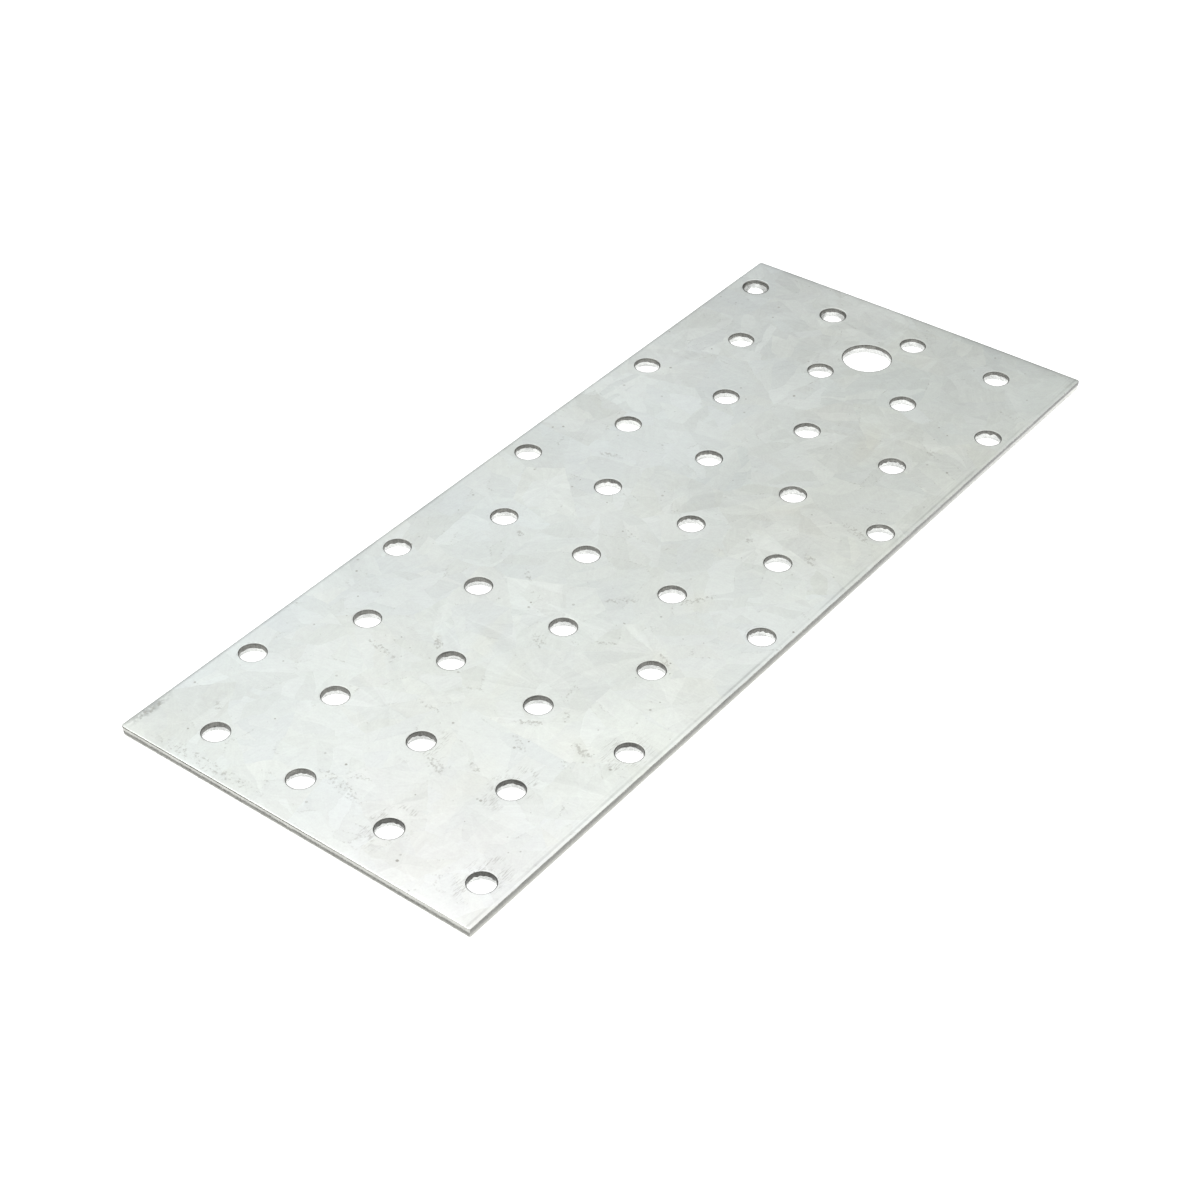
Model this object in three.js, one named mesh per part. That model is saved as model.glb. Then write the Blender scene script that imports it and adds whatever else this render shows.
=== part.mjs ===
// Perforated nail plate: a flat galvanised steel connector plate for timber.
// It is one piece of sheet, sheared to size and punched with staggered rows of
// nail holes and a larger bolt hole near one end.
//
// Frame, in millimetres: +X runs along the length towards the end with the bolt
// hole, +Y runs across the width, +Z is up. The origin is at the middle of the
// underside, the face that lies on the timber.
import * as THREE from "three";
import { mergeVertices } from "three/addons/utils/BufferGeometryUtils.js";

// Sheet
const LENGTH = 199; // along X: the 200 mm stock length, sheared a millimetre under
const WIDTH = 80; // along Y
const THICKNESS = 2; // along Z
const CORNER_R = 0.5; // sheared corners, dulled by the zinc

// Nail holes: straight rows across the width, every second row shifted sideways
// by half a pitch, so that each nail sits between two nails of the next row.
const NAIL_HOLE_D = 5;
const ROWS = 10;
const HOLES_PER_ROW = 4;
const ROW_PITCH = 20; // from row to row, along X
const HOLE_PITCH = 20; // from hole to hole within a row, along Y
const STAGGER = 10; // how far every second row is shifted, along Y
const END_MARGIN = 9.5; // centre of the first and last row to the short ends
const SIDE_MARGIN = 5; // centre of the outermost hole to the long sides

// Bolt hole: on the centreline, halfway between the last two rows
const BOLT_HOLE_D = 10;
const BOLT_HOLE_INSET = END_MARGIN + ROW_PITCH / 2; // centre to the +X end

// Facets on each round hole
const NAIL_HOLE_SIDES = 32;
const BOLT_HOLE_SIDES = 48;
const CORNER_SIDES = 3;

// Outline of the sheet: a rectangle about the origin with slightly dulled corners.
function sheetOutline() {
  const hx = LENGTH / 2;
  const hy = WIDTH / 2;
  const points = [];
  const corners = [
    [hx - CORNER_R, hy - CORNER_R, 0],
    [-hx + CORNER_R, hy - CORNER_R, 1],
    [-hx + CORNER_R, -hy + CORNER_R, 2],
    [hx - CORNER_R, -hy + CORNER_R, 3],
  ];
  for (const [cx, cy, quarter] of corners) {
    for (let i = 0; i <= CORNER_SIDES; i++) {
      const a = (quarter + i / CORNER_SIDES) * (Math.PI / 2);
      points.push(
        new THREE.Vector2(
          cx + CORNER_R * Math.cos(a),
          cy + CORNER_R * Math.sin(a),
        ),
      );
    }
  }
  return new THREE.Shape(points);
}

// A round hole as a closed polygon, wound against the outline. Its corners lie a
// little outside the nominal circle, so that the polygon has the circle's area.
function roundHole(x, y, diameter, sides) {
  const step = (2 * Math.PI) / sides;
  const r = (diameter / 2) * Math.sqrt(step / Math.sin(step));
  const points = [];
  for (let i = 0; i < sides; i++) {
    const a = -(i + 0.5) * step;
    points.push(new THREE.Vector2(x + r * Math.cos(a), y + r * Math.sin(a)));
  }
  return new THREE.Path(points);
}

// Centres of the nail holes. The first row, at the -X end, is shifted towards -Y,
// the second towards +Y, and so on in turn.
function nailHoleCentres() {
  const centres = [];
  for (let row = 0; row < ROWS; row++) {
    const x = -LENGTH / 2 + END_MARGIN + row * ROW_PITCH;
    const first = WIDTH / 2 - SIDE_MARGIN - (row % 2 === 0 ? STAGGER : 0);
    for (let n = 0; n < HOLES_PER_ROW; n++) {
      centres.push([x, first - n * HOLE_PITCH]);
    }
  }
  return centres;
}

const outline = sheetOutline();
for (const [x, y] of nailHoleCentres()) {
  outline.holes.push(roundHole(x, y, NAIL_HOLE_D, NAIL_HOLE_SIDES));
}
outline.holes.push(
  roundHole(LENGTH / 2 - BOLT_HOLE_INSET, 0, BOLT_HOLE_D, BOLT_HOLE_SIDES),
);

// The punched sheet, extruded from its underside at z = 0 to its top face.
const extruded = new THREE.ExtrudeGeometry(outline, {
  depth: THICKNESS,
  steps: 1,
  bevelEnabled: false,
  curveSegments: 1,
});
extruded.deleteAttribute("uv");
extruded.deleteAttribute("normal");
const plateGeometry = mergeVertices(extruded, 1e-4);
plateGeometry.computeVertexNormals();

const galvanisedSteel = new THREE.MeshStandardMaterial({
  name: "galvanised_steel",
  color: 0xc8ccc8,
  roughness: 0.42,
  metalness: 0.9,
  flatShading: true,
});

const plate = new THREE.Mesh(plateGeometry, galvanisedSteel);
plate.name = "nail_plate";

const group = new THREE.Group();
group.name = "perforated_nail_plate";
group.add(plate);

export default group;
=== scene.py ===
import math

import bpy
import numpy as np
from mathutils import Matrix, Vector
from mathutils.geometry import delaunay_2d_cdt


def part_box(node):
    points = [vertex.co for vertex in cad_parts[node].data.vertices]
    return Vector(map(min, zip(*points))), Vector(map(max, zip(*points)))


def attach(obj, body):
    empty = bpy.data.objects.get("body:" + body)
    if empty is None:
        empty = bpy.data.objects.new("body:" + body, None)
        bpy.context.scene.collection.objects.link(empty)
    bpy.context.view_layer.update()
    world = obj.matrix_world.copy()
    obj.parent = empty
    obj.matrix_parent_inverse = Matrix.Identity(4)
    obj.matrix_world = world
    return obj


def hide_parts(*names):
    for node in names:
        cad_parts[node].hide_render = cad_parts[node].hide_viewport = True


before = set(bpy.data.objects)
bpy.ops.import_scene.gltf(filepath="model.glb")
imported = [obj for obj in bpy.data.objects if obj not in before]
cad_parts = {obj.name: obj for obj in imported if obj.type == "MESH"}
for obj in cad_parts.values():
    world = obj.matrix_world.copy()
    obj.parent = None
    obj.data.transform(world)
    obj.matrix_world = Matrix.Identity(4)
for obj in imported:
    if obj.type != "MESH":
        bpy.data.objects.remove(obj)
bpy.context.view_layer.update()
lo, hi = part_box("nail_plate")

MM = 0.001
RNG = np.random.default_rng(2417)

# ---------------------------------------------------------------------------
# Sizes, in millimetres, from the frame's box and the plate's hole grid
# ---------------------------------------------------------------------------
X0, X1 = lo.x / MM, hi.x / MM
Y0, Y1 = lo.y / MM, hi.y / MM
TOP = hi.z / MM

NAIL_R = 2.5
BOLT_R = 5.0
NAIL_HOLES = [
    (-90.0 + 20.0 * row, (25.0 if row % 2 == 0 else 35.0) - 20.0 * n)
    for row in range(10)
    for n in range(4)
]
BOLT_HOLE = (80.0, 0.0)
# the holes sit a little off the grid: all of them drift smoothly over the plate, and a few strayed further
STRAYED = {
    (-90.0, -35.0): (-0.17, -0.06),
    (50.0, 15.0): (0.16, 0.0),
    (70.0, 5.0): (0.13, 0.08),
    (70.0, -35.0): (0.13, 0.14),
    (90.0, 35.0): (-0.24, -0.12),
    (90.0, -25.0): (-0.22, -0.18),
}
# at two holes by the far left corner the tear hangs into the hole on two sides, by this much
HANGING = {(90.0, 35.0): 1.10, (90.0, 15.0): 0.75}


def struck_at(hx, hy):
    """Where the punch really struck for a hole of the grid."""
    u, v = hx / 100.0, hy / 40.0
    ox, oy = STRAYED.get((hx, hy), (0.0, 0.0))
    ox += 0.131 + 0.070 * u - 0.022 * v - 0.315 * u * v + 0.012 * u * u - 0.365 * v * v
    oy += -0.038 - 0.072 * u + 0.104 * v + 0.070 * u * v - 0.067 * u * u - 0.405 * v * v
    return hx + ox, hy + oy


# ---------------------------------------------------------------------------
# Camera: it stands at the viewing angle of the photograph
# ---------------------------------------------------------------------------
cam_data = bpy.data.cameras.new("camera")
cam_data.sensor_fit = "HORIZONTAL"
cam_data.sensor_width = 36.0
cam_data.lens = 78.905
cam_data.clip_start = 0.01
cam_data.clip_end = 50.0
camera = bpy.data.objects.new("camera", cam_data)
bpy.context.scene.collection.objects.link(camera)
camera.matrix_world = Matrix(
    (
        (0.6055566, 0.4888444, -0.6279589, -0.3254186),
        (-0.7957807, 0.3777854, -0.4732983, -0.2361282),
        (0.0058645, 0.7863264, 0.6177834, 0.3029547),
        (0.0, 0.0, 0.0, 1.0),
    )
)
bpy.context.scene.camera = camera


# ---------------------------------------------------------------------------
# Mesh of the plate
# ---------------------------------------------------------------------------
def smooth_noise(n, waves, rng):
    """A closed, smooth random line of n values round a loop, about -1 to 1."""
    a = np.linspace(0, 2 * math.pi, n, endpoint=False)
    out = np.zeros(n)
    for w in waves:
        out += rng.normal() * np.cos(w * a) + rng.normal() * np.sin(w * a)
    return out / math.sqrt(len(waves))


class Builder:
    """Collects vertices, faces and a material index for each face."""

    def __init__(self):
        self.verts = []
        self.faces = []
        self.mats = []
        self.count = 0

    def add(self, pts):
        start = self.count
        self.verts.append(np.asarray(pts, float))
        self.count += len(pts)
        return np.arange(start, self.count)

    def band(self, upper, lower, mat, flip=False):
        """Quads between two closed loops of the same length."""
        n = len(upper)
        for i in range(n):
            j = (i + 1) % n
            q = (upper[i], lower[i], lower[j], upper[j])
            self.faces.append(q[::-1] if flip else q)
            self.mats.append(mat)


M_FACE, M_HOLE_BURNISH, M_HOLE_BREAK, M_EDGE = range(4)

B = Builder()

# Section of a punched hole, from the flat top face down to the flat underside:
# the lip rolled in by the punch, the smooth burnished band that the punch
# wiped, the rough break below it that flares outwards, and the burr.
HOLE_LIP_W = 0.24  # how far from the wall the lip starts
HOLE_LIP_H = 0.13  # how deep the lip rolls in
BURR = 0.03  # the burr stands this far below the flat underside


def hole_loops(cx, cy, r, sides, rng, hang=0.0):
    """Rings of points down the hole, as (ring of xyz, material of the band below)."""
    a = np.linspace(0, 2 * math.pi, sides, endpoint=False)
    tongue = hang * np.abs(np.cos(a - math.radians(127.0))) ** 1.5
    ca, sa = np.cos(a), np.sin(a)
    # the punch was sharper towards the near end: its burnish runs deeper there, and its lip is tighter
    worn = min(max((cx + 60.0) / 60.0, 0.0), 1.0)
    r = r + 0.05 + 0.04 * worn
    lip_w = (HOLE_LIP_W + 0.04 * worn) * (1 + 0.9 * hang) * (1 + 0.08 * smooth_noise(sides, (1, 2, 3), rng))
    lip_h = HOLE_LIP_H * (1 + 1.2 * hang) * (1 + 0.08 * smooth_noise(sides, (1, 2, 3, 5), rng))
    ragged = rng.uniform(0.02, 0.09)
    wall_end = 0.96 + 0.22 * worn + 0.05 * smooth_noise(sides, (1, 2), rng) + ragged * smooth_noise(sides, (4, 7, 11, 16), rng)
    rings = []

    def ring(radius, z, mat):
        rad = np.broadcast_to(radius, a.shape)
        zz = np.broadcast_to(z, a.shape)
        rings.append((np.c_[cx + rad * ca, cy + rad * sa, zz], mat))

    ring(r + lip_w + 0.20, TOP, M_FACE)
    ring(r + lip_w + 0.05, TOP, M_FACE)
    for t in (0.0, 0.25, 0.5, 0.72, 0.88, 1.0):
        # quarter of an ellipse: level at t = 0, upright at t = 1
        ang = t * math.pi / 2
        # below its first quarter the rolled lip takes the dark burnish material, so that material's painted shade
        # reaches up round the top of the hole
        ring(r + lip_w * (1 - math.sin(ang)), TOP - lip_h * (1 - math.cos(ang)), M_FACE if t < 0.25 else M_HOLE_BURNISH)
    upper = TOP - lip_h
    for t in (0.5, 1.0):
        ring(r + 0.01 * t, upper + (wall_end - upper) * t, M_HOLE_BURNISH if t < 1 else M_HOLE_BREAK)
    for t in (0.06, 0.25, 0.48, 0.7, 0.88):
        z = wall_end + (0.10 - wall_end) * t
        flare = 0.035 + 0.20 * t
        rough = 0.018 * rng.normal(size=sides) + 0.018 * smooth_noise(sides, (5, 9, 14, 19), rng)
        ring(r + flare * (1 - 0.6 * np.minimum(3.0 * tongue, 1.0)) - tongue * t + rough * (1 - 0.3 * t), z + 0.02 * rng.normal(size=sides), M_HOLE_BREAK)
    tip = 0.012 * np.abs(smooth_noise(sides, (2, 3, 5, 8, 13), rng))
    ring(r + 0.25, np.minimum(tip, BURR), M_HOLE_BREAK)
    ring(r + 0.29, np.minimum(tip, BURR), M_FACE)
    ring(r + 0.38, BURR, M_FACE)
    ring(r + 0.50, BURR, M_FACE)
    return rings


# The four corners, counter-clockwise from +x +y, with their worn radii
CORNERS = [
    (X1, Y1, 0.7, 0),
    (X0, Y1, 0.7, 1),
    (X0, Y0, 0.35, 2),
    (X1, Y0, 0.65, 3),
]
EDGE_STEP = 0.5
CORNER_SEGMENTS = 8
# The shear cut the plate a little out of square with its holes: how far each corner of the
# outline is from the corner of the nominal box, in the order of CORNERS
OFF_SQUARE = [(-0.70, -0.32), (0.76, -0.74), (-0.54, -0.74), (0.76, 0.27)]
BOW = (0.26, 0.09)  # and how far the middles of the far and the near end are moved along +x


def sheared(xy):
    """Points of the nominal outline, moved onto the outline that the shear left."""
    u = ((xy[:, 0] - X0) / (X1 - X0))[:, None]
    v = ((xy[:, 1] - Y0) / (Y1 - Y0))[:, None]
    d = np.array(OFF_SQUARE)
    bow = np.c_[4 * v * (1 - v) * (BOW[0] * u + BOW[1] * (1 - u)), 0 * u]
    return xy + bow + u * v * d[0] + (1 - u) * v * d[1] + (1 - u) * (1 - v) * d[2] + u * (1 - v) * d[3]


def outline_points(inset=(0.0, 0.0, 0.0, 0.0)):
    """Points on the box outline moved in by an inset for each side (0 +x, 1 +y, 2 -x, 3 -y), with
    worn corners: position, outward normal and side. Every inset gives the same number of points.
    The side is a whole number on a straight, and runs from one to the next round a corner."""
    pos, nor, side = [], [], []
    radii = []
    for k in range(4):
        d = 0.5 * (inset[k] + inset[(k + 1) % 4])
        radii.append(max(CORNERS[k][2] - 0.5 * d, 0.3))

    def centre(k):
        cx, cy = CORNERS[k][:2]
        sx, sy = (1 if cx > 0 else -1), (1 if cy > 0 else -1)
        return cx - sx * (radii[k] + inset[0 if sx > 0 else 2]), cy - sy * (radii[k] + inset[1 if sy > 0 else 3])

    for k in range(4):
        ox, oy = centre(k)
        m = CORNER_SEGMENTS
        for i in range(m + 1):
            a = (k + i / m) * math.pi / 2
            pos.append((ox + radii[k] * math.cos(a), oy + radii[k] * math.sin(a)))
            nor.append((math.cos(a), math.sin(a)))
            side.append(k + i / m)
        # along the straight side to the next corner
        j = (k + 1) % 4
        nx, ny = centre(j)
        a0 = (k + 1) * math.pi / 2
        start = np.array(pos[-1])
        end = np.array((nx + radii[j] * math.cos(a0), ny + radii[j] * math.sin(a0)))
        n = int(round((abs(CORNERS[j][0] - CORNERS[k][0]) + abs(CORNERS[j][1] - CORNERS[k][1])) / EDGE_STEP))
        for i in range(1, n):
            pos.append(tuple(start + (end - start) * i / n))
            nor.append((math.cos(a0), math.sin(a0)))
            side.append(k + 1)
    return np.array(pos), np.array(nor), np.array(side)


EP, EN, ES = outline_points()
NE = len(EP)


def by_side(values):
    """A value for each point of the outline from one value for each side, blended round the corners."""
    v = np.array(list(values) + [values[0]])
    return np.interp(ES % 4.0, np.arange(5), v)


def edge_noise(scale, rng):
    """Random values along the outline, smoothed over about scale points."""
    v = rng.normal(size=NE)
    k = np.exp(-0.5 * (np.arange(-4 * scale, 4 * scale + 1) / scale) ** 2)
    k /= math.sqrt((k**2).sum())
    return np.convolve(np.r_[v[-len(k) :], v, v[: len(k)]], k, "same")[len(k) : -len(k)]


# The shear leaves the near end (-x) rolled over a wider strip than the other sides
ROLL_W = (2.2, 1.0, 3.6, 1.1)
ROLL_H = (0.030, 0.016, 0.036, 0.013)
LIP_W = (0.75, 0.70, 0.40, 0.60)
LIP_H = (0.045, 0.045, 0.016, 0.016)
NOSE = 0.10


def edge_loops(rng):
    """Rings of points over the sheared edge, from the top face down to the underside."""
    rings = []
    wall_end = 1.12 + 0.06 * edge_noise(8, rng) + 0.03 * edge_noise(2, rng)
    wobble = 1 + 0.06 * edge_noise(24, rng)

    def ring(insets, z, mat, jitter=0.0):
        xy = sheared(outline_points(insets)[0] - EN * np.broadcast_to(jitter, (NE,))[:, None])
        rings.append((np.c_[xy, np.broadcast_to(z, (NE,))], mat))

    def drop(t_wide, t_lip):
        return (by_side(ROLL_H) * t_wide**2 + by_side(LIP_H) * t_lip**2) * wobble

    ring([w + 0.20 for w in ROLL_W], TOP, M_FACE)
    ring([w + 0.07 for w in ROLL_W], TOP, M_FACE)
    for t in (0.0, 0.2, 0.4, 0.6, 0.8):
        d = [w + (p - w) * t for w, p in zip(ROLL_W, LIP_W)]
        wide = [(w - x) / w for w, x in zip(ROLL_W, d)]
        ring(d, TOP - drop(by_side(wide), 0.0), M_FACE)
    for t in (0.0, 0.3, 0.6, 0.8, 1.0):
        d = [p + (NOSE - p) * t for p in LIP_W]
        wide = [(w - x) / w for w, x in zip(ROLL_W, d)]
        ring(d, TOP - drop(by_side(wide), t), M_FACE)
    base = TOP - drop(by_side([(w - NOSE) / w for w in ROLL_W]), 1.0)
    for t in (0.25, 0.5, 0.75, 1.0):
        ang = (0.1 + 0.9 * t) * math.pi / 2
        inset = NOSE * (1 - math.sin(ang))
        ring([inset] * 4, base - NOSE * (1 - math.cos(ang)), M_EDGE)
    upper = base - NOSE
    # a fine step under the nose, where the zinc skin was torn over the edge
    ring([0.012] * 4, upper - 0.06, M_EDGE)
    ring([0.0] * 4, upper - 0.13, M_EDGE)
    ring([0.004] * 4, wall_end, M_EDGE)
    for t in (0.08, 0.28, 0.5, 0.74, 0.93):
        z = wall_end + (0.06 - wall_end) * t
        rough = np.abs(0.02 * rng.normal(size=NE) + 0.015 * edge_noise(3, rng))
        ring([0.035 + 0.09 * t] * 4, z + 0.02 * rng.normal(size=NE), M_EDGE, jitter=rough)
    ring([0.16] * 4, BURR * 0.3, M_FACE)
    ring([0.24] * 4, BURR, M_FACE)
    ring([0.45] * 4, BURR, M_FACE)
    return rings


def add_rings(rings, flip):
    ids = [B.add(pts) for pts, _ in rings]
    for k in range(len(ids) - 1):
        B.band(ids[k], ids[k + 1], rings[k][1], flip)
    return ids[0], ids[-1]


top_loops, bottom_loops = [], []
for i, (hx, hy) in enumerate(NAIL_HOLES + [BOLT_HOLE]):
    bolt = i == len(NAIL_HOLES)
    rings = hole_loops(*struck_at(hx, hy), BOLT_R if bolt else NAIL_R, 128 if bolt else 72, RNG, HANGING.get((hx, hy), 0.0))
    a, b = add_rings(rings, flip=True)
    top_loops.append(a)
    bottom_loops.append(b)
edge_top, edge_bottom = add_rings(edge_loops(RNG), flip=False)


def inside(loop, pts):
    """True for each point that lies inside a closed loop of points."""
    x, y = pts[:, 0][:, None], pts[:, 1][:, None]
    ax, ay = loop[:, 0][None], loop[:, 1][None]
    bx, by = np.roll(ax, -1, 1), np.roll(ay, -1, 1)
    crosses = (ay > y) != (by > y)
    at = ax + (y - ay) * (bx - ax) / np.where(by == ay, 1e-12, by - ay)
    return (crosses & (x < at)).sum(1) % 2 == 1


def fill(outer, holes, up, spacing=4.0):
    """Fills a flat face between an outer loop and the loops of its holes, on a grid of inner points."""
    all_verts = np.concatenate(B.verts)
    loops = [outer] + list(holes)
    ids = np.concatenate(loops)
    pts = [Vector(all_verts[i][:2]) for i in ids]
    edges, at = [], 0
    for loop in loops:
        n = len(loop)
        edges += [(at + i, at + (i + 1) % n) for i in range(n)]
        at += n
    z = all_verts[outer[0]][2]
    polys = [all_verts[loop][:, :2] for loop in loops]
    centres = np.array(NAIL_HOLES + [BOLT_HOLE])
    radii = np.array([NAIL_R] * len(NAIL_HOLES) + [BOLT_R]) + 1.5
    grid = np.array([(gx, gy) for gx in np.arange(X0 + 2, X1 - 1, spacing) for gy in np.arange(Y0 + 2, Y1 - 1, spacing)])
    grid += RNG.uniform(-0.9, 0.9, grid.shape)
    clear = (np.hypot(*(grid[:, None] - centres[None]).transpose(2, 0, 1)) > radii).all(1)
    inner = grid[clear & inside(polys[0], grid)]
    # keep them off the outer loop, where they would make slivers
    gap = np.array([np.hypot(*(polys[0] - p).T).min() for p in inner])
    inner = inner[gap > 0.5]
    pts += [Vector(p) for p in inner]
    # helper points all round the outside: without them the straight sides, whose points are only
    # nearly in line, would grow slivers on the wrong side of the outline
    around = [(gx, gy) for gx in np.arange(X0 - 5, X1 + 6, 2.0) for gy in (Y0 - 4, Y1 + 4)]
    around += [(gx, gy) for gy in np.arange(Y0 - 2, Y1 + 3, 2.0) for gx in (X0 - 5, X1 + 6)]
    pts += [Vector(p) for p in around]
    made = delaunay_2d_cdt(pts, edges, [], 0, 1e-7)
    out_pts, out_faces, orig = np.array([tuple(v) for v in made[0]]), made[2], made[3]
    inner_ids = B.add(np.c_[inner, np.full(len(inner), z)])
    known = [int(i) for i in ids] + [int(i) for i in inner_ids] + [-1] * len(around)
    new_ids = [known[min(src)] for src in orig]
    tri = np.array([list(f[:3]) for f in out_faces])
    mid = out_pts[tri].mean(1)
    keep = inside(polys[0], mid)
    for poly, c, r in zip(polys[1:], centres, radii):
        close = np.hypot(*(mid - c).T) < r + 1.0
        keep[np.flatnonzero(close)[inside(poly, mid[close])]] = False
    a, b, c = out_pts[tri[:, 0]], out_pts[tri[:, 1]], out_pts[tri[:, 2]]
    turn = (b[:, 0] - a[:, 0]) * (c[:, 1] - a[:, 1]) - (b[:, 1] - a[:, 1]) * (c[:, 0] - a[:, 0])
    for f, k, t in zip(tri, keep, turn):
        if not k:
            continue
        g = [new_ids[i] for i in f]
        assert min(g) >= 0
        B.faces.append(tuple(g if (t > 0) == up else g[::-1]))
        B.mats.append(M_FACE)


fill(edge_top, top_loops, up=True)
fill(edge_bottom, bottom_loops, up=False)

mesh = bpy.data.meshes.new("nail_plate_skin")
coords = np.concatenate(B.verts)
coords *= MM
mesh.from_pydata([tuple(v) for v in coords], [], [tuple(int(i) for i in f) for f in B.faces])
mesh.update()
mesh.polygons.foreach_set("material_index", np.array(B.mats, dtype=np.int32))
mesh.polygons.foreach_set("use_smooth", np.ones(len(B.faces), dtype=bool))
plate = bpy.data.objects.new("punched_plate", mesh)
bpy.context.scene.collection.objects.link(plate)
print("plate faces", len(mesh.polygons), "verts", len(mesh.vertices))


# ---------------------------------------------------------------------------
# Materials
# ---------------------------------------------------------------------------
class Nodes:
    """Short calls for building a node tree."""

    def __init__(self, tree):
        self.tree = tree
        self.x = -2400

    def new(self, kind, inputs=None, **props):
        n = self.tree.nodes.new(kind)
        self.x += 40
        n.location = (self.x, 0)
        for k, v in props.items():
            setattr(n, k, v)
        for k, v in (inputs or {}).items():
            self.set(n.inputs[k], v)
        return n

    def set(self, socket, v):
        if isinstance(v, bpy.types.NodeSocket):
            self.tree.links.new(v, socket)
        else:
            socket.default_value = v

    def math(self, op, a, b=None, c=None, clamp=False):
        n = self.new("ShaderNodeMath", operation=op, use_clamp=clamp)
        for i, v in enumerate((a, b, c)):
            if v is not None:
                self.set(n.inputs[i], v)
        return n.outputs[0]

    def vec(self, op, a, b=None, scale=None):
        n = self.new("ShaderNodeVectorMath", operation=op)
        self.set(n.inputs[0], a)
        if b is not None:
            self.set(n.inputs[1], b)
        if scale is not None:
            self.set(n.inputs["Scale"], scale)
        return n.outputs["Value"] if op in ("LENGTH", "DOT_PRODUCT", "DISTANCE") else n.outputs["Vector"]

    def combine(self, x=0.0, y=0.0, z=0.0):
        n = self.new("ShaderNodeCombineXYZ")
        for s, v in zip(n.inputs, (x, y, z)):
            self.set(s, v)
        return n.outputs[0]

    def separate(self, v):
        n = self.new("ShaderNodeSeparateXYZ")
        self.set(n.inputs[0], v)
        return n.outputs

    def step(self, v, low, high, out_low=0.0, out_high=1.0, smooth=True):
        n = self.new("ShaderNodeMapRange", interpolation_type="SMOOTHSTEP" if smooth else "LINEAR", clamp=True)
        for k, x in (("Value", v), ("From Min", low), ("From Max", high), ("To Min", out_low), ("To Max", out_high)):
            self.set(n.inputs[k], x)
        return n.outputs[0]

    def noise(self, vector, scale, detail=2.0, rough=0.5, distortion=0.0, dims="2D"):
        n = self.new("ShaderNodeTexNoise", noise_dimensions=dims)
        self.set(n.inputs["Vector"], vector)
        n.inputs["Scale"].default_value = scale
        n.inputs["Detail"].default_value = detail
        n.inputs["Roughness"].default_value = rough
        n.inputs["Distortion"].default_value = distortion
        return n

    def mix(self, fac, a, b, blend="MIX"):
        n = self.new("ShaderNodeMix", data_type="RGBA", blend_type=blend)
        n.clamp_factor = True
        self.set(n.inputs[0], fac)
        self.set(n.inputs[6], a)
        self.set(n.inputs[7], b)
        return n.outputs[2]

    def voronoi(self, vector, scale, feature="F1", randomness=1.0, dims="2D"):
        n = self.new("ShaderNodeTexVoronoi", feature=feature, voronoi_dimensions=dims)
        self.set(n.inputs["Vector"], vector)
        n.inputs["Scale"].default_value = scale
        n.inputs["Randomness"].default_value = randomness
        return n


def material(name):
    m = bpy.data.materials.new(name)
    m.use_nodes = True
    m.node_tree.nodes.clear()
    n = Nodes(m.node_tree)
    bsdf = n.new("ShaderNodeBsdfPrincipled")
    out = n.new("ShaderNodeOutputMaterial")
    n.tree.links.new(bsdf.outputs[0], out.inputs[0])
    return m, n, bsdf


def blob(n, flat, x, y, length, width, turn):
    """1 in the middle of an oval patch of the top face, 0 outside it; turn is its direction in degrees."""
    rel = n.vec("SUBTRACT", flat, (x, y, 0.0))
    rot = n.new("ShaderNodeVectorRotate", rotation_type="Z_AXIS")
    n.set(rot.inputs["Vector"], rel)
    n.set(rot.inputs["Angle"], -math.radians(turn))
    q = n.vec("MULTIPLY", rot.outputs[0], (2.0 / length, 2.0 / width, 0.0))
    return n.step(n.vec("LENGTH", q), 1.0, 0.35)


def turned(n, v, angle, scale):
    """Coordinates turned by an angle and then scaled on each axis."""
    rot = n.new("ShaderNodeVectorRotate", rotation_type="Z_AXIS")
    n.set(rot.inputs["Vector"], v)
    n.set(rot.inputs["Angle"], angle)
    return n.vec("MULTIPLY", rot.outputs[0], scale)


def centred(n, v, amount):
    """A value from 0 to 1, turned into -amount/2 to +amount/2."""
    return n.math("MULTIPLY", n.math("SUBTRACT", v, 0.5), amount)


# Streaks of dross and handling marks on the top face: x, y, length, width, direction, strength
STROKES = [
    (-47.5, 10.0, 4.5, 1.8, 35, 1.0),
    (-12.5, 19.0, 3.0, 1.2, 75, 1.0),
    (-84.5, 29.5, 3.5, 1.6, 40, 0.7),
    (-55.0, 17.0, 9.0, 1.6, 80, 0.8),
    (-62.0, 0.0, 8.0, 1.2, 88, 0.7),
    (-73.0, -11.0, 6.0, 2.0, 65, 0.9),
    (-69.5, -16.5, 5.0, 1.4, 62, 0.8),
    (-55.0, -28.5, 6.0, 2.0, 75, 1.0),
    (-54.5, -17.0, 6.0, 1.6, -60, 0.9),
    (-60.0, -19.0, 6.0, 1.6, 60, 0.7),
    (-49.5, -21.0, 4.0, 1.2, 30, 0.9),
    (-36.0, -4.0, 5.0, 3.0, 40, 0.7),
    (-29.0, -14.0, 5.0, 0.9, -60, 0.9),
    (-17.0, -9.0, 8.0, 1.8, -50, 0.7),
    (-8.5, -20.0, 9.0, 1.8, -35, 0.8),
    (-27.0, -26.0, 7.0, 1.6, 50, 0.8),
    (-22.0, 9.5, 5.0, 1.2, 45, 0.8),
    (19.0, 21.0, 6.0, 1.6, -70, 0.8),
    (14.5, -29.5, 4.0, 2.2, 60, 0.9),
    (27.0, -32.0, 10.0, 2.0, 70, 0.8),
    (35.0, -30.0, 7.0, 1.5, -70, 0.6),
    (58.5, -29.5, 6.0, 1.6, 65, 0.6),
    (12.5, -17.0, 2.0, 1.6, 0, 1.0),
    (-92.5, 38.0, 9.0, 1.2, 1, 0.9),
    (-87.0, -2.0, 14.0, 3.0, 80, 0.6),
    (-97.0, 20.0, 30.0, 3.0, 90, 0.5),
]

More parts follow.
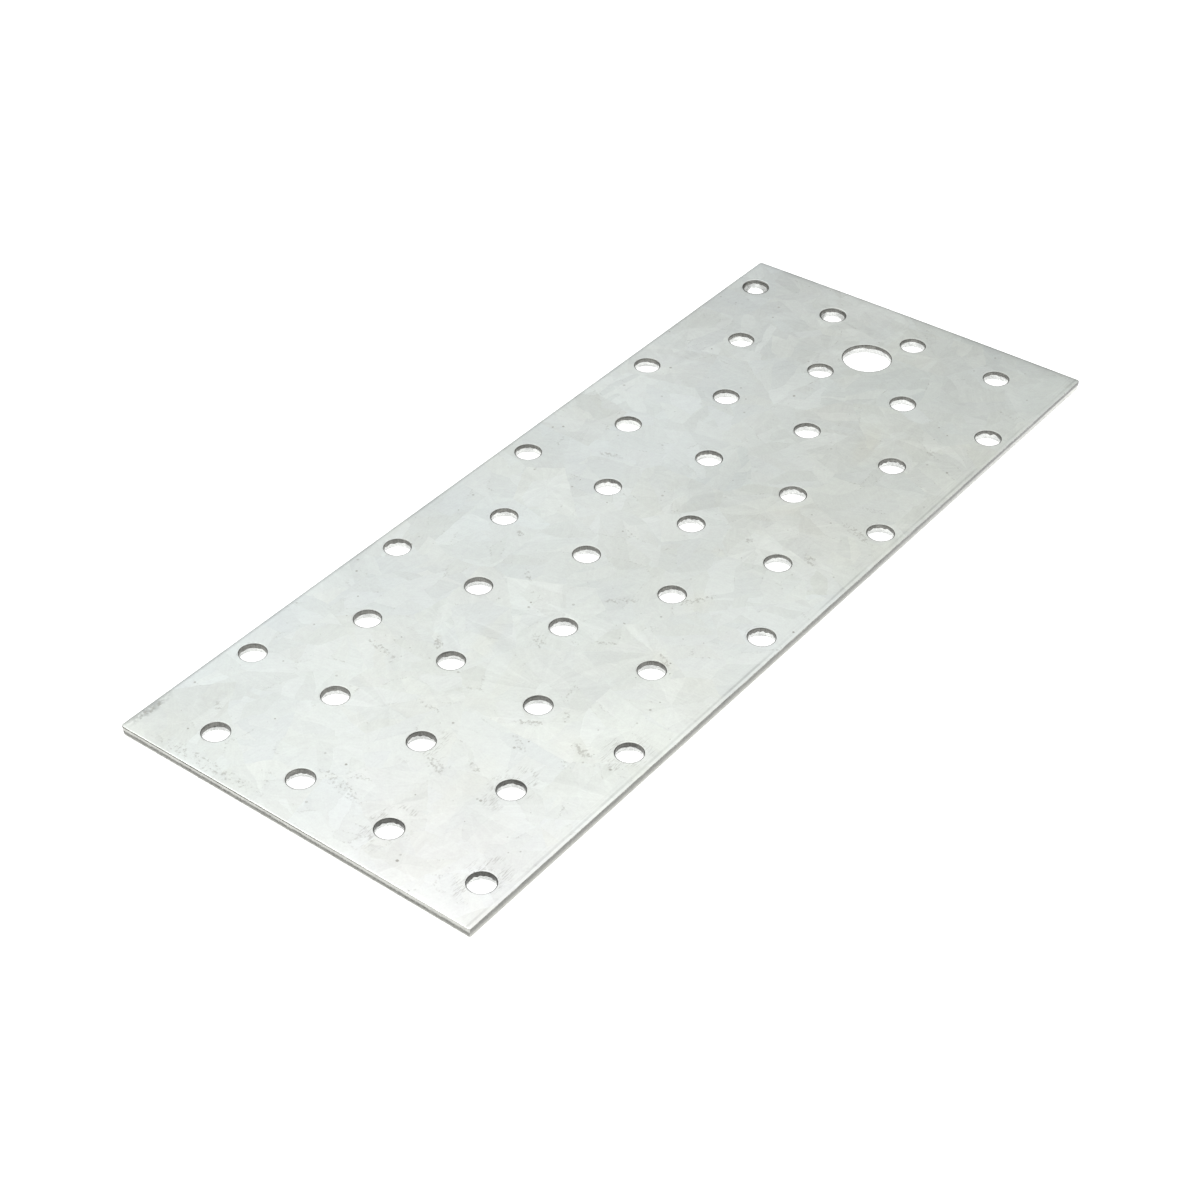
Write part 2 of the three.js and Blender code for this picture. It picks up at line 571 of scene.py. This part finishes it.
# Places where the zinc has a warm, brownish cast: x, y, length, width, direction, strength
WARM_PATCHES = [
    (-42.0, 3.5, 20.0, 6.0, 15, 1.0),
    (-27.0, -25.0, 9.0, 4.0, 60, 0.8),
    (-9.0, -20.0, 9.0, 8.0, 0, 0.8),
    (-55.0, -26.0, 12.0, 8.0, 70, 0.6),
    (-74.0, -19.0, 26.0, 7.0, 5, 0.5),
    (53.0, -17.5, 18.0, 5.5, 15, 1.0),
    (6.0, -14.5, 4.0, 3.0, 60, 0.9),
    (25.0, -17.0, 9.0, 5.0, -40, 0.5),
    (66.0, 1.0, 22.0, 6.0, 10, -0.4),
]


def zinc_face():
    """Hot-dip zinc on the two flat faces. Low-contrast spangle: large grains split into
    straight-edged shards and into fans of rays from their middle, each a little lighter,
    darker, warmer or rougher than the next and leaning its own way; over it dross specks
    and strokes, faint drag lines round the holes, and the odd scuff."""
    m, n, bsdf = material("zinc_face")
    obj = n.new("ShaderNodeTexCoord").outputs["Object"]
    p = n.vec("SCALE", obj, scale=1000.0)
    px, py, pz = n.separate(p)
    # the underside has its own pattern
    top = n.math("GREATER_THAN", pz, 1.0)
    flat0 = n.combine(px, py, 0.0)
    flat = n.combine(n.math("ADD", px, n.math("MULTIPLY", top, 431.0)), py, 0.0)

    wob = n.noise(flat, 0.22, detail=2.0)
    drift = n.vec("SCALE", n.vec("SUBTRACT", wob.outputs["Color"], (0.5, 0.5, 0.5)), scale=1.2)
    wob2 = n.noise(flat, 1.3, detail=2.0)
    flat_w = n.vec("ADD", n.vec("ADD", flat, drift), n.vec("SCALE", n.vec("SUBTRACT", wob2.outputs["Color"], (0.5, 0.5, 0.5)), scale=0.14))

    # --- large grains -------------------------------------------------------
    grain = n.voronoi(flat_w, 1 / 15.0)
    g_rand = grain.outputs["Color"]
    gr, gg, gb = n.separate(g_rand)
    away = n.vec("SUBTRACT", flat_w, grain.outputs["Position"])
    centre = grain.outputs["Position"]

    # --- shards: long straight-edged cells, turned with their grain ------------
    turn1 = n.math("MULTIPLY", gr, 3.1416)
    v1 = n.voronoi(turned(n, flat_w, turn1, (1 / 9.0, 1 / 3.6, 1.0)), 1.0)
    a1, a2, a3 = n.separate(v1.outputs["Color"])
    turn2 = n.math("ADD", turn1, n.math("ADD", 0.7, gg))
    v2 = n.voronoi(turned(n, flat_w, turn2, (1 / 12.0, 1 / 2.8, 1.0)), 1.0)
    b1, b2, b3 = n.separate(v2.outputs["Color"])
    pick = n.math("GREATER_THAN", a1, 0.55)
    shard = n.math("ADD", n.math("MULTIPLY", pick, b1), n.math("MULTIPLY", n.math("SUBTRACT", 1.0, pick), a2))
    shard_turn = n.math("ADD", n.math("MULTIPLY", pick, b2), n.math("MULTIPLY", n.math("SUBTRACT", 1.0, pick), a3))

    # --- fans: rays from the middle of a grain --------------------------------
    ax, ay, _ = n.separate(away)
    theta = n.math("ARCTAN2", ay, ax)
    warp = n.math("MULTIPLY", n.math("SINE", n.math("ADD", n.math("MULTIPLY", theta, 3.0), n.math("MULTIPLY", gg, 6.28))), 0.45)
    sector = n.math("FLOOR", n.math("MULTIPLY", n.math("ADD", n.math("ADD", theta, warp), n.math("MULTIPLY", gr, 6.28)), 9.0 / 6.2832))
    white = n.new("ShaderNodeTexWhiteNoise", noise_dimensions="4D")
    n.set(white.inputs["Vector"], centre)
    n.set(white.inputs["W"], sector)
    s1, s2, s3 = n.separate(white.outputs["Color"])
    fan = n.step(gb, 0.35, 0.6)
    unit = n.vec("NORMALIZE", away)
    ray_at = n.vec("ADD", n.vec("ADD", n.vec("SCALE", unit, scale=5.5), n.vec("SCALE", away, scale=0.05)), centre)
    rays = n.noise(ray_at, 1.0, detail=2.0, rough=0.6).outputs["Fac"]
    bright_ray = n.math("MULTIPLY", n.step(rays, 0.60, 0.72), fan)

    # --- feathering across each shard, and a fine even grain -------------------
    feather = n.noise(turned(n, flat, n.math("MULTIPLY", shard_turn, 3.1416), (0.16, 2.0, 1.0)), 1.0, detail=3.0, rough=0.65).outputs["Fac"]
    fine = n.noise(flat, 2.6, detail=3.0, rough=0.65).outputs["Fac"]
    mottle = n.noise(flat, 0.7, detail=3.0, rough=0.6).outputs["Fac"]
    broad = n.noise(flat, 1 / 24.0, detail=2.0).outputs["Fac"]
    broad2 = n.noise(n.vec("ADD", flat, (97.0, 31.0, 0.0)), 1 / 30.0, detail=2.0).outputs["Fac"]

    v = centred(n, gg, 0.056)
    v = n.math("ADD", v, centred(n, shard, 0.090))
    v = n.math("ADD", v, n.math("MULTIPLY", centred(n, s1, 0.060), fan))
    v = n.math("ADD", v, n.math("MULTIPLY", centred(n, rays, 0.075), fan))
    v = n.math("ADD", v, n.math("MULTIPLY", bright_ray, 0.016))
    v = n.math("ADD", v, centred(n, feather, 0.100))
    v = n.math("ADD", v, centred(n, mottle, 0.090))
    v = n.math("ADD", v, centred(n, fine, 0.125))
    v = n.math("ADD", v, centred(n, broad, 0.115))
    # the far right of the sheet is duller and a little yellower
    dull = n.math("MULTIPLY", n.math("MULTIPLY", n.step(n.math("ADD", px, n.math("MULTIPLY", broad, 16.0)), 0.0, 45.0), n.step(n.math("ADD", py, n.math("MULTIPLY", broad2, 14.0)), 22.0, -6.0)), top)
    v = n.math("SUBTRACT", v, n.math("MULTIPLY", dull, 0.026))
    clean = n.math("MULTIPLY", n.step(n.math("ADD", py, centred(n, broad2, 16.0)), -6.0, 10.0), n.math("MULTIPLY", n.step(px, -22.0, 12.0), n.step(px, 76.0, 54.0)))
    clean = n.math("ADD", n.math("MULTIPLY", clean, 0.066), n.step(py, -21.0, -33.0, 0.0, 0.030))
    v = n.math("ADD", v, n.math("MULTIPLY", clean, top))

    # --- dross: strokes along some shard edges, specks, and a few named places --
    edge = n.voronoi(turned(n, flat_w, turn1, (1 / 9.0, 1 / 3.6, 1.0)), 1.0, feature="DISTANCE_TO_EDGE").outputs["Distance"]
    near_edge = n.step(edge, 0.07, 0.01)
    patchy = n.noise(n.vec("ADD", flat, (11.0, 57.0, 0.0)), 0.16, detail=3.0, rough=0.6).outputs["Fac"]
    crumbs = n.noise(n.vec("ADD", flat, (5.0, 3.0, 0.0)), 2.1, detail=3.0, rough=0.7).outputs["Fac"]
    edge_dirt = n.math("MULTIPLY", n.math("MULTIPLY", near_edge, n.step(patchy, 0.55, 0.68)), n.step(crumbs, 0.48, 0.64))

    cell = n.voronoi(flat, 1 / 1.4)
    c1, c2, c3 = n.separate(cell.outputs["Color"])
    where = n.noise(n.vec("ADD", flat, (71.0, 13.0, 0.0)), 0.09, detail=2.0).outputs["Fac"]
    few = n.math("SUBTRACT", 0.988, n.math("MULTIPLY", n.step(where, 0.42, 0.72), 0.075))
    few = n.math("ADD", few, n.math("MULTIPLY", n.step(px, 0.0, 40.0), 0.008))
    dot_r = n.math("ADD", 0.03, n.math("MULTIPLY", n.math("MULTIPLY", c3, c3), 0.17))
    dot = n.math("MULTIPLY", n.step(n.math("SUBTRACT", cell.outputs["Distance"], dot_r), 0.04, -0.03), n.math("GREATER_THAN", c1, few))

    zones = None
    for x, y, length, width, turn, strength in STROKES:
        z = n.math("MULTIPLY", blob(n, flat0, x, y, length * 1.25, width * 1.35, turn), strength)
        zones = z if zones is None else n.math("MAXIMUM", zones, z)
    grit = n.noise(n.vec("ADD", flat, (3.0, 9.0, 0.0)), 1.25, detail=4.0, rough=0.75).outputs["Fac"]
    named = n.step(n.math("ADD", grit, n.math("MULTIPLY", zones, 0.17)), 0.60, 0.74)
    named = n.math("MULTIPLY", n.math("MULTIPLY", named, n.step(zones, 0.02, 0.35)), top)

    # --- drag lines in short combs by the holes of the near end ----------------
    def ring_mask(x0, y0):
        dx = n.math("WRAP", n.math("ADD", px, -x0), 20.0, -20.0)
        dy = n.math("WRAP", n.math("ADD", py, -y0), 10.0, -10.0)
        r = n.vec("LENGTH", n.combine(n.math("MULTIPLY", dx, 0.8), n.math("MULTIPLY", dy, 1.15), 0.0))
        return n.math("MULTIPLY", n.step(r, 5.6, 4.2), n.math("GREATER_THAN", r, 2.0))

    by_hole = n.math("MAXIMUM", ring_mask(-90.0, 5.0), ring_mask(-70.0, 15.0))
    region = n.math("MAXIMUM", n.math("MULTIPLY", n.step(px, -57.0, -63.0), n.step(py, -2.0, -9.0)), n.math("MULTIPLY", n.math("MULTIPLY", n.step(px, -42.0, -50.0), n.step(py, -27.0, -31.0)), 0.8))
    some = n.noise(n.vec("ADD", flat, (41.0, 83.0, 0.0)), 0.30, detail=2.0).outputs["Fac"]
    comb = n.noise(n.vec("MULTIPLY", flat, (0.55, 4.4, 1.0)), 1.0, detail=2.0, rough=0.6).outputs["Fac"]
    comb = n.math("MULTIPLY", n.math("MULTIPLY", n.step(comb, 0.52, 0.60), n.step(some, 0.42, 0.56)), n.math("MULTIPLY", by_hole, n.math("MULTIPLY", region, top)))

    # --- the broken line where the lip of a nail hole starts --------------------
    def from_hole(x0, y0):
        dx = n.math("WRAP", n.math("ADD", px, -x0), 20.0, -20.0)
        dy = n.math("WRAP", n.math("ADD", py, -y0), 10.0, -10.0)
        return n.vec("LENGTH", n.combine(dx, dy, 0.0))

    off_hole = n.math("MINIMUM", from_hole(-90.0, 5.0), from_hole(-70.0, 15.0))
    lip_line = n.math("MULTIPLY", n.step(off_hole, 2.62, 2.70), n.step(off_hole, 2.86, 2.76))
    dotted = n.noise(flat, 1.6, detail=3.0, rough=0.7).outputs["Fac"]
    lip_line = n.math("MULTIPLY", n.math("MULTIPLY", lip_line, n.step(dotted, 0.44, 0.60)), top)

    # --- drawn lines along the two long sides, and pale streaks across ---------
    # distance in from the -y side, which runs a little out of line with the holes
    in_from = n.math("ADD", n.math("SUBTRACT", py, n.math("MULTIPLY", px, 0.00508)), 40.235)
    side_band = n.math("MAXIMUM", n.step(in_from, 3.6, 1.4), n.math("MULTIPLY", n.step(py, 36.5, 38.5), 0.6))
    drawn = n.noise(n.vec("MULTIPLY", flat, (0.05, 4.0, 1.0)), 1.0, detail=2.0).outputs["Fac"]
    v = n.math("ADD", v, n.math("MULTIPLY", centred(n, drawn, 0.13), side_band))
    groove = n.math("MULTIPLY", n.step(in_from, 1.25, 0.92), n.step(in_from, 0.48, 0.78))
    uneven = n.noise(n.vec("MULTIPLY", flat, (0.055, 0.2, 1.0)), 1.0, detail=3.0).outputs["Fac"]
    v = n.math("SUBTRACT", v, n.math("MULTIPLY", groove, n.math("MULTIPLY", n.step(uneven, 0.25, 0.75), 0.26)))
    pale_zone = n.math("MAXIMUM", blob(n, flat0, -31.0, -33.0, 40.0, 13.0, 0), n.math("MULTIPLY", blob(n, flat0, 6.0, -35.0, 40.0, 9.0, 0), 0.8))
    pale = n.noise(n.vec("MULTIPLY", flat_w, (1.7, 0.16, 1.0)), 1.0, detail=3.0, rough=0.6).outputs["Fac"]
    v = n.math("ADD", v, n.math("MULTIPLY", n.math("MULTIPLY", n.step(pale, 0.52, 0.68), pale_zone), n.math("MULTIPLY", top, 0.035)))
    scuff = n.math("MULTIPLY", blob(n, flat0, -92.6, 38.2, 13.5, 3.0, 1.0), n.step(n.noise(flat, 0.9, detail=3.0, rough=0.7).outputs["Fac"], 0.36, 0.56))
    v = n.math("SUBTRACT", v, n.math("MULTIPLY", n.math("MULTIPLY", scuff, top), 0.25))
    strokes_zone = blob(n, flat0, 82.0, -31.0, 20.0, 15.0, 50)
    slant = n.noise(turned(n, flat, -0.80, (0.07, 0.75, 1.0)), 1.0, detail=2.0).outputs["Fac"]
    v = n.math("ADD", v, n.math("MULTIPLY", centred(n, slant, 0.16), n.math("MULTIPLY", strokes_zone, top)))

    # --- colour ----------------------------------------------------------------
    warm_zone = None
    for x, y, length, width, turn, strength in WARM_PATCHES:
        z = n.math("MULTIPLY", blob(n, flat_w_top(n, flat0, drift), x, y, length, width, turn), strength)
        warm_zone = z if warm_zone is None else n.math("ADD", warm_zone, z)
    warm_zone = n.math("MULTIPLY", warm_zone, top)
    t = centred(n, gb, 1.3)
    t = n.math("ADD", t, centred(n, shard_turn, 1.0))
    t = n.math("ADD", t, centred(n, broad2, 3.4))
    t = n.math("ADD", t, n.math("MULTIPLY", warm_zone, 1.5))
    t = n.math("SUBTRACT", t, n.math("MULTIPLY", py, 0.018))
    v = n.math("SUBTRACT", v, n.math("MULTIPLY", warm_zone, 0.008))
    t2 = n.math("ADD", centred(n, a3, 0.9), n.math("ADD", centred(n, gr, 0.5), centred(n, mottle, 3.2)))
    v = n.math("ADD", v, 1.0)
    red = n.math("MULTIPLY", v, n.math("ADD", 0.744, n.math("MULTIPLY", t, 0.0060)))
    green = n.math("MULTIPLY", v, n.math("ADD", 0.780, n.math("ADD", n.math("MULTIPLY", t, 0.0010), n.math("MULTIPLY", t2, 0.0062))))
    blue = n.math("MULTIPLY", v, n.math("ADD", 0.750, n.math("ADD", n.math("MULTIPLY", t, -0.0085), n.math("MULTIPLY", dull, -0.010))))
    # painted highlight: the zinc towards the near -x -y corner is tinted more neutral, standing in for how its
    # brightest highlight washes out the tint
    neutral = n.math("MULTIPLY", n.step(px, -50.0, -96.0), n.step(py, 20.0, -34.0))
    red = n.math("ADD", red, n.math("MULTIPLY", neutral, 0.021))
    blue = n.math("ADD", blue, n.math("MULTIPLY", neutral, 0.021))
    col = n.combine(red, green, blue)
    dirt = n.math("MULTIPLY", edge_dirt, 0.34)
    dirt = n.math("MAXIMUM", dirt, n.math("MULTIPLY", dot, n.math("ADD", 0.25, n.math("MULTIPLY", c2, 0.45))))
    dirt = n.math("MAXIMUM", dirt, n.math("MULTIPLY", named, 0.40))
    dirt = n.math("MAXIMUM", dirt, n.math("MULTIPLY", comb, 0.34))
    dirt = n.math("MAXIMUM", dirt, n.math("MULTIPLY", lip_line, 0.30))
    col = n.mix(dirt, col, (0.30, 0.285, 0.25, 1.0))
    n.set(bsdf.inputs["Base Color"], col)
    bsdf.inputs["Metallic"].default_value = 1.0
    rough = n.math("ADD", 0.32, centred(n, shard, 0.06))
    rough = n.math("ADD", rough, centred(n, feather, 0.08))
    rough = n.math("ADD", rough, n.math("MULTIPLY", dirt, 0.35))
    n.set(bsdf.inputs["Roughness"], rough)

    # each shard and each ray leans its own way by a fraction of a degree
    geo = n.new("ShaderNodeNewGeometry")
    lean = n.combine(n.math("SUBTRACT", s2, 0.5), n.math("SUBTRACT", s3, 0.5), 0.0)
    lean = n.vec("SCALE", lean, scale=n.math("MULTIPLY", fan, 0.010))
    lean_f = n.combine(n.math("SUBTRACT", shard, 0.5), n.math("SUBTRACT", shard_turn, 0.5), 0.0)
    nor = n.vec("ADD", geo.outputs["Normal"], lean)
    nor = n.vec("ADD", nor, n.vec("SCALE", lean_f, scale=0.010))
    nor = n.vec("NORMALIZE", nor)
    bump = n.new("ShaderNodeBump")
    bump.inputs["Strength"].default_value = 0.3
    bump.inputs["Distance"].default_value = 0.00002
    relief = n.math("SUBTRACT", n.math("ADD", fine, n.math("MULTIPLY", feather, 0.6)), n.math("MULTIPLY", dirt, 1.5))
    n.set(bump.inputs["Height"], relief)
    n.set(bump.inputs["Normal"], nor)
    n.set(bsdf.inputs["Normal"], bump.outputs[0])
    return m


def flat_w_top(n, flat0, drift):
    return n.vec("ADD", flat0, drift)


def ramp(n, value, stops):
    """A grey from a height: stops are (z in mm, grey), from the underside up."""
    r = n.new("ShaderNodeValToRGB")
    r.color_ramp.interpolation = "LINEAR"
    els = r.color_ramp.elements
    while len(els) < len(stops):
        els.new(0.5)
    for e, (z, g) in zip(els, stops):
        e.position = z / 2.2
        e.color = (g, g, g, 1.0)
    n.set(r.inputs[0], n.math("DIVIDE", value, 2.2))
    return r.outputs["Color"]


def wall(name, dark, light, rough, drag, bump_mm, near=1.0):
    """A punched wall of a hole: dark and light are its two greys, drag stretches the texture
    down the wall, and near multiplies the greys by the near corner, where the punch was cleanest."""
    m, n, bsdf = material(name)
    obj = n.new("ShaderNodeTexCoord").outputs["Object"]
    p = n.vec("SCALE", obj, scale=1000.0)
    grain = n.noise(n.vec("MULTIPLY", p, (4.5, 4.5, 4.5 * drag)), 1.0, detail=4.0, rough=0.62, dims="3D").outputs["Fac"]
    patch = n.noise(n.vec("MULTIPLY", p, (0.45, 0.45, 1.2)), 1.0, detail=2.0, dims="3D").outputs["Fac"]
    mixv = n.math("ADD", n.math("MULTIPLY", grain, 0.55), n.math("MULTIPLY", patch, 0.45))
    px, py, _ = n.separate(p)
    k = n.math("MULTIPLY", n.step(px, -25.0, -72.0), n.step(py, 8.0, -18.0))
    k = n.math("ADD", 1.0, n.math("MULTIPLY", k, near - 1.0))
    grey = n.mix(n.step(mixv, 0.34, 0.66), tuple(dark) + (1.0,), tuple(light) + (1.0,))
    n.set(bsdf.inputs["Base Color"], n.vec("SCALE", grey, scale=k))
    bsdf.inputs["Metallic"].default_value = 1.0
    n.set(bsdf.inputs["Roughness"], n.step(grain, 0.2, 0.8, rough[0], rough[1]))
    bump = n.new("ShaderNodeBump")
    bump.inputs["Strength"].default_value = 0.7
    bump.inputs["Distance"].default_value = bump_mm * MM
    n.set(bump.inputs["Height"], grain)
    n.set(bsdf.inputs["Normal"], bump.outputs[0])
    return m


def sheared_edge():
    """The outside edges. The two short sides were sheared: a smooth light band, and a dark
    torn one below it. The two long sides were slit: a dark scuffed line at the top that
    fades to clean zinc lower down; towards the far end the lower part is also painted
    near-white, a painted reflection of the white floor."""
    m, n, bsdf = material("sheared_edge")
    obj = n.new("ShaderNodeTexCoord").outputs["Object"]
    p = n.vec("SCALE", obj, scale=1000.0)
    px, py, pz = n.separate(p)
    geo = n.new("ShaderNodeNewGeometry")
    nx, ny, _ = n.separate(geo.outputs["Normal"])
    long_side = n.step(n.math("SUBTRACT", n.math("ABSOLUTE", ny), n.math("ABSOLUTE", nx)), -0.1, 0.1)
    grain = n.noise(n.vec("MULTIPLY", p, (3.2, 3.2, 1.6)), 1.0, detail=4.0, rough=0.65, dims="3D").outputs["Fac"]
    patch = n.noise(n.vec("MULTIPLY", p, (0.30, 0.30, 0.9)), 1.0, detail=3.0, dims="3D").outputs["Fac"]
    z = n.math("ADD", pz, n.math("ADD", centred(n, patch, 0.34), centred(n, grain, 0.22)))
    short = ramp(n, z, [(0.0, 0.72), (0.20, 0.50), (0.42, 0.35), (0.62, 0.275), (0.92, 0.275), (1.08, 0.38), (1.22, 0.52), (1.58, 0.54), (1.76, 0.50), (1.95, 0.60)])
    slit = ramp(n, z, [(0.0, 0.74), (0.28, 0.60), (0.66, 0.48), (1.05, 0.36), (1.40, 0.255), (1.74, 0.225), (1.86, 0.27), (1.95, 0.55)])
    # torn metal: bright flecks along the top of the dark band, and dark crumbs all over it
    flecks = n.noise(n.vec("MULTIPLY", p, (1.9, 1.9, 5.0)), 1.0, detail=3.0, rough=0.7, dims="3D").outputs["Fac"]
    near_tear = n.math("MULTIPLY", n.step(pz, 0.62, 0.98), n.step(pz, 1.34, 1.16))
    short = n.mix(n.math("MULTIPLY", n.step(flecks, 0.56, 0.64), n.math("MULTIPLY", near_tear, 0.75)), short, (0.74, 0.74, 0.71, 1.0))
    crumbs = n.noise(n.vec("MULTIPLY", p, (1.5, 1.5, 3.6)), 1.0, detail=4.0, rough=0.75, dims="3D").outputs["Fac"]
    short = n.mix(n.math("MULTIPLY", n.step(crumbs, 0.50, 0.62), n.math("MULTIPLY", n.step(pz, 1.30, 1.0), 0.55)), short, (0.09, 0.088, 0.078, 1.0))
    # a thin scuffed line round the rim of the near end, strongest at its +y end
    rim = n.math("MULTIPLY", n.step(pz, 1.66, 1.73), n.step(pz, 1.955, 1.915))
    rim = n.math("MULTIPLY", rim, n.step(n.math("ADD", py, centred(n, patch, 26.0)), -40.0, 14.0, 0.06, 0.95))
    rim = n.math("MULTIPLY", rim, n.step(crumbs, 0.34, 0.50, 0.45, 1.0))
    short = n.mix(rim, short, (0.105, 0.102, 0.092, 1.0))
    # on the long sides the scuffing is patchy, and towards the far end only its top is left: below it the wall is
    # painted near-white, a painted reflection of the white floor
    slit = n.mix(n.math("MULTIPLY", n.step(crumbs, 0.52, 0.66), n.math("MULTIPLY", n.step(pz, 0.5, 1.1), 0.45)), slit, (0.10, 0.098, 0.088, 1.0))
    slit = n.mix(n.math("MULTIPLY", n.step(px, 20.0, 99.0, 0.0, 0.85, smooth=False), n.step(pz, 1.45, 0.95)), slit, (0.82, 0.82, 0.80, 1.0))
    col = n.mix(long_side, short, slit)
    tone = n.math("ADD", 1.0, n.math("ADD", centred(n, grain, 0.60), centred(n, patch, 0.40)))
    col = n.mix(1.0, col, n.combine(tone, n.math("MULTIPLY", tone, 1.005), n.math("MULTIPLY", tone, n.step(px, -20.0, 80.0, 0.945, 0.985))), "MULTIPLY")
    n.set(bsdf.inputs["Base Color"], col)
    bsdf.inputs["Metallic"].default_value = 1.0
    n.set(bsdf.inputs["Roughness"], n.math("ADD", n.step(pz, 0.9, 1.3, 0.55, 0.38), centred(n, grain, 0.15)))
    bump = n.new("ShaderNodeBump")
    bump.inputs["Strength"].default_value = 0.7
    bump.inputs["Distance"].default_value = 0.04 * MM
    n.set(bump.inputs["Height"], n.math("MULTIPLY", grain, n.step(pz, 0.9, 1.3, 1.0, 0.35)))
    n.set(bsdf.inputs["Normal"], bump.outputs[0])
    return m


# In the order of the face numbers M_FACE, M_HOLE_BURNISH, ...
for made in (
    zinc_face(),
    # the smooth band that the punch wiped: bare steel with upright drag lines, painted far darker than the burnish of
    # the outer edges as painted shade for the dark hole that it mirrors, darkest by the near corner
    wall("hole_burnish", (0.128, 0.128, 0.119), (0.255, 0.255, 0.238), (0.30, 0.45), drag=0.12, bump_mm=0.03, near=0.60),
    # the torn part below it, which opens out towards the underside; its near-white grey is painted light, a lit copy of
    # the dark torn steel of the outer edges that stands in for the white floor it mirrors
    wall("hole_break", (0.62, 0.63, 0.62), (0.93, 0.94, 0.92), (0.5, 0.7), drag=0.35, bump_mm=0.05),
    sheared_edge(),
):
    plate.data.materials.append(made)

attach(plate, "root")
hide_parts("nail_plate")


# ---------------------------------------------------------------------------
# Studio: white floor, soft light that is bright overhead and dims to the horizon
# ---------------------------------------------------------------------------
def floor():
    me = bpy.data.meshes.new("studio_floor")
    r, n = 4.0, 96
    pts = [(r * math.cos(2 * math.pi * i / n), r * math.sin(2 * math.pi * i / n), -0.00002) for i in range(n)]
    me.from_pydata(pts, [], [tuple(range(n))])
    ob = bpy.data.objects.new("studio_floor", me)
    bpy.context.scene.collection.objects.link(ob)
    m = bpy.data.materials.new("floor_white")
    m.use_nodes = True
    b = m.node_tree.nodes["Principled BSDF"]
    b.inputs["Base Color"].default_value = (0.75, 0.75, 0.75, 1.0)
    b.inputs["Roughness"].default_value = 0.9
    b.inputs["Specular IOR Level"].default_value = 0.1
    # a softly lit acrylic table: the holes show white and the plate throws hardly any shadow
    b.inputs["Emission Color"].default_value = (1.0, 1.0, 1.0, 1.0)
    b.inputs["Emission Strength"].default_value = 0.62
    me.materials.append(m)
    return ob


floor()

world = bpy.data.worlds.new("studio")
bpy.context.scene.world = world
world.use_nodes = True
world.node_tree.nodes.clear()
w = Nodes(world.node_tree)
direction = w.new("ShaderNodeTexCoord").outputs["Generated"]
dx, dy, dz = w.separate(w.vec("NORMALIZE", direction))
sky = w.new("ShaderNodeValToRGB")
sky.color_ramp.interpolation = "LINEAR"
STOPS = [(0, 0.34), (12, 0.38), (22, 0.45), (28, 0.55), (32, 0.70), (37, 0.90), (41, 1.02), (46, 1.22), (52, 1.36), (62, 1.32), (75, 1.12), (90, 1.02)]
els = sky.color_ramp.elements
while len(els) < len(STOPS):
    els.new(0.5)
for e, (deg, val) in zip(els, STOPS):
    e.position = math.sin(math.radians(deg))
    e.color = (val / 1.6, val / 1.6, val / 1.6, 1.0)
w.set(sky.inputs[0], w.math("MAXIMUM", dz, 0.0))


def toward(az, el, power):
    """1 in one direction of the sky, fading to 0 away from it."""
    az, el = math.radians(az), math.radians(el)
    to = (math.cos(az) * math.cos(el), math.sin(az) * math.cos(el), math.sin(el))
    d = w.math("MAXIMUM", w.vec("DOT_PRODUCT", w.vec("NORMALIZE", direction), to), 0.0)
    return w.math("POWER", d, power)


# a broad soft light high over the far side, and a dimmer corner of the room to the right
lobe = w.math("MULTIPLY", toward(35, 62, 8.0), 0.25)
dim = w.math("SUBTRACT", 1.0, w.math("MULTIPLY", toward(5, 28, 12.0), 0.42))
bg = w.new("ShaderNodeBackground")
scaled = w.math("MULTIPLY", sky.outputs["Color"], 1.6)
w.set(bg.inputs["Color"], w.math("MULTIPLY", w.math("ADD", scaled, lobe), dim))
bg.inputs["Strength"].default_value = 1.0
out = w.new("ShaderNodeOutputWorld")
w.tree.links.new(bg.outputs[0], out.inputs[0])

sun_data = bpy.data.lights.new("fill_sun", "SUN")
sun_data.energy = 0.5
sun_data.angle = math.radians(20)
sun = bpy.data.objects.new("fill_sun", sun_data)
bpy.context.scene.collection.objects.link(sun)
az, el = math.radians(110), math.radians(58)
sun.rotation_mode = "QUATERNION"
sun.rotation_quaternion = Vector((math.cos(az) * math.cos(el), math.sin(az) * math.cos(el), math.sin(el))).to_track_quat("Z", "Y")

bpy.context.scene.view_settings.view_transform = "Standard"
bpy.context.scene.view_settings.look = "None"
bpy.context.scene.view_settings.exposure = 0.0
bpy.context.scene.view_settings.gamma = 1.0
